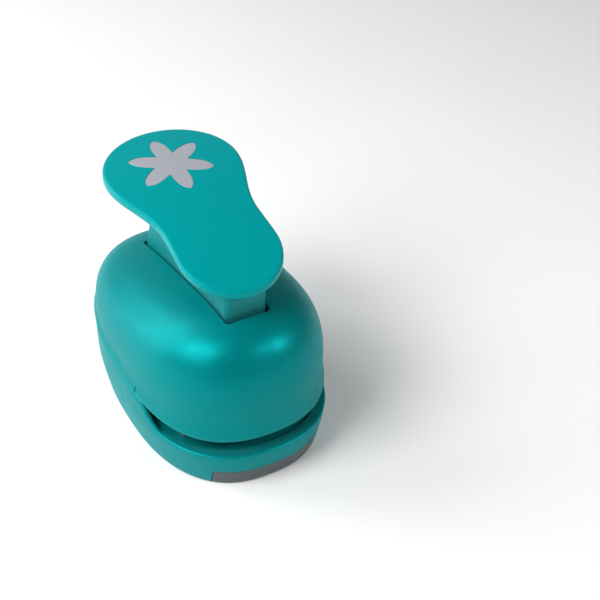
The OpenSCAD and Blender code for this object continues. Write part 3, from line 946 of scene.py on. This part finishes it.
materials = {
    "teal_shell": moulded_plastic(
        "satin_teal_plastic",
        SHELL_TEAL,
        0.42,
        0.34,
        0.14,
        pearl=0.35,
        shine=0.35,
        tint=TEAL_GLOSS,
        # Strength of the painted highlight that makes the shell's convex edges paler.
        edge_highlight=0.45,
    ),
    "teal_plate": moulded_plastic(
        "smooth_teal_plastic", PLATE_TEAL, 0.34, 0.6, 0.04, cloud=0.02, shine=0.3, tint=TEAL_GLOSS
    ),
    "silver_inlay": print_film("silver_lilac_film", srgb(176, 178, 186)),
    "grey_tray": moulded_plastic("grey_tray_plastic", srgb(66, 77, 82), 0.36, 0.5, 0.06),
    "zinc": cast_metal("die_cast_zinc", (0.5, 0.51, 0.52, 1), 0.42, 0.3),
    "steel": drawn_steel("bright_steel", (0.62, 0.63, 0.65, 1), 0.26, "z"),
    "pin_steel": drawn_steel("ground_pin_steel", (0.66, 0.67, 0.69, 1), 0.2, "x"),
    "spring_steel": drawn_steel("spring_wire_steel", (0.5, 0.51, 0.54, 1), 0.3, "y"),
}


# ---------------------------------------------------------------- assembly

def add(obj, body, slot, material, *nodes):
    """Puts a finished piece on its body in place of the CAD nodes it stands for."""
    paint(obj, materials[material])
    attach(obj, body)
    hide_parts(*nodes)


add(make_base(), "housing", "teal_shell", "teal_shell", "base_shell")
add(make_body(), "housing", "teal_shell", "teal_shell", "body_shell")
add(make_plate(), "lever", "teal_plate", "teal_plate", "lever_plate")
add(make_inlay(), "lever", "silver_inlay", "silver_inlay", "flower_inlay")
add(make_tray(), "tray", "grey_tray", "grey_tray", "chip_tray")

GUIDE_TOP = 17.8
screw_groups = (
    (
        "housing_screw_set",
        BOSSES,
        "housing_screws",
        dict(seat_z=HEAD_SEAT_Z, head_r=HEAD_R, head_t=1.5, shank_r=SCREW_R, length=16, up=-1),
    ),
    (
        "die_mount_screw_set",
        DIE_MOUNTS,
        "die_mount_screws",
        dict(seat_z=MOUNT_SEAT_Z, head_r=1.7, head_t=1.2, shank_r=MOUNT_SCREW_R, length=8.3, up=-1),
    ),
    (
        "die_screw_set",
        [(x, 14) for x in (-13, 0, 13)],
        "die_screws",
        dict(seat_z=GUIDE_TOP, head_r=2.4, head_t=1.6, shank_r=1.25, length=9.1, up=1),
    ),
    (
        "bracket_screw_set",
        [(x, -20.5) for x in (-11.6, 11.6)],
        "bracket_screws",
        dict(seat_z=GUIDE_TOP + 1.6, head_r=2.3, head_t=1.5, shank_r=1.25, length=4.6, up=1),
    ),
)
for name, spots, cad_node, size in screw_groups:
    add(make_screws(name, spots, **size), "housing", "steel", "steel", cad_node)

for side, name in ((-1, "left"), (1, "right")):
    spring = make_spring(f"coil_spring_{name}", side * POST_X)
    add(spring, "housing", "steel", "spring_steel", f"return_spring_{name}")
    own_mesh(spring)

CAD_FINISH = {
    "zinc": ("die_plate", "guide_plate", "pivot_bracket", "punch_carrier"),
    "steel": ("spacer_bar", "male_punch", "punch_screws", "guide_posts", "post_clips"),
    "pin_steel": ("press_pin", "hinge_pin", "pin_clips"),
    "teal_shell": ("lever_stem",),
}
for finish, names in CAD_FINISH.items():
    for name in names:
        paint(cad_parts[name], materials[finish])


# ---------------------------------------------------------------- floor, light and camera

def make_floor():
    """Pale sheet that curves up far behind the object."""
    half, bend_y, r, top = 900.0, 700.0, 300.0, 900.0
    profile = [(-900.0, 0.0), (0.0, 0.0), (bend_y, 0.0)]
    turn = np.linspace(0, math.pi / 2, 16)[1:]
    profile += [(bend_y + r * math.sin(a), r - r * math.cos(a)) for a in turn]
    profile.append((bend_y + r, top))
    verts = [(x, y, z) for y, z in profile for x in (-half, half)]
    faces = [(2 * k, 2 * k + 1, 2 * k + 3, 2 * k + 2) for k in range(len(profile) - 1)]
    floor = make_object("studio_floor", verts, faces)
    paint(floor, floor_paper("studio_paper", (0.96, 0.96, 0.96, 1)))


def area_light(name, place, aim, size, power):
    data = bpy.data.lights.new(name, "AREA")
    data.shape = "RECTANGLE"
    data.size, data.size_y = size[0] * MM, size[1] * MM
    data.energy = power
    light = bpy.data.objects.new(name, data)
    light.location = Vector(place) * MM
    light.rotation_euler = (Vector(aim) - Vector(place)).to_track_quat("-Z", "Y").to_euler()
    bpy.context.scene.collection.objects.link(light)


def make_camera():
    """Camera 40 degrees above the horizon, to the left of the mouth.

    yaw, pitch and roll turn it away from its aim at the target."""
    azimuth, elevation, roll = math.radians(-26.45), math.radians(40.48), math.radians(-0.447)
    yaw, pitch = math.radians(-3.52451), math.radians(-0.45835)
    lens, distance = 87.81, 400.0
    target = Vector((0, -2.5, 30))
    level = math.cos(elevation)
    back = Vector((math.sin(azimuth) * level, -math.cos(azimuth) * level, math.sin(elevation)))
    right = Vector((math.cos(azimuth), math.sin(azimuth), 0))
    frame_axes = Matrix((right, back.cross(right), back)).transposed()
    turn = Matrix.Rotation(roll, 3, "Z") @ Matrix.Rotation(yaw, 3, "Y") @ Matrix.Rotation(-pitch, 3, "X")
    data = bpy.data.cameras.new("camera")
    data.sensor_width = 36.0
    data.lens = lens
    data.clip_start, data.clip_end = 0.01, 10.0
    camera = bpy.data.objects.new("camera", data)
    camera.matrix_world = Matrix.Translation((target + back * distance) * MM) @ (frame_axes @ turn).to_4x4()
    bpy.context.scene.collection.objects.link(camera)
    bpy.context.scene.camera = camera


def set_world(strength):
    world = bpy.data.worlds.new("studio")
    bpy.context.scene.world = world
    world.use_nodes = True
    background = world.node_tree.nodes["Background"]
    background.inputs["Color"].default_value = (1, 1, 1, 1)
    background.inputs["Strength"].default_value = strength


def make_lights():
    """Large soft lights on the left and behind, and a smaller one at the front right."""
    set_world(0.15)
    area_light("key", (-355, -40, 400), (0, 0, 20), (300, 280), 2.3)
    area_light("side", (-400, 300, 170), (0, 0, 20), (300, 220), 0.9)
    area_light("fill", (270, -345, 315), (0, 0, 20), (140, 140), 0.9)
    area_light("back", (-300, 400, 420), (0, 0, 30), (400, 260), 1.6)


bpy.context.scene.view_settings.view_transform = "Standard"
make_floor()
make_camera()
make_lights()
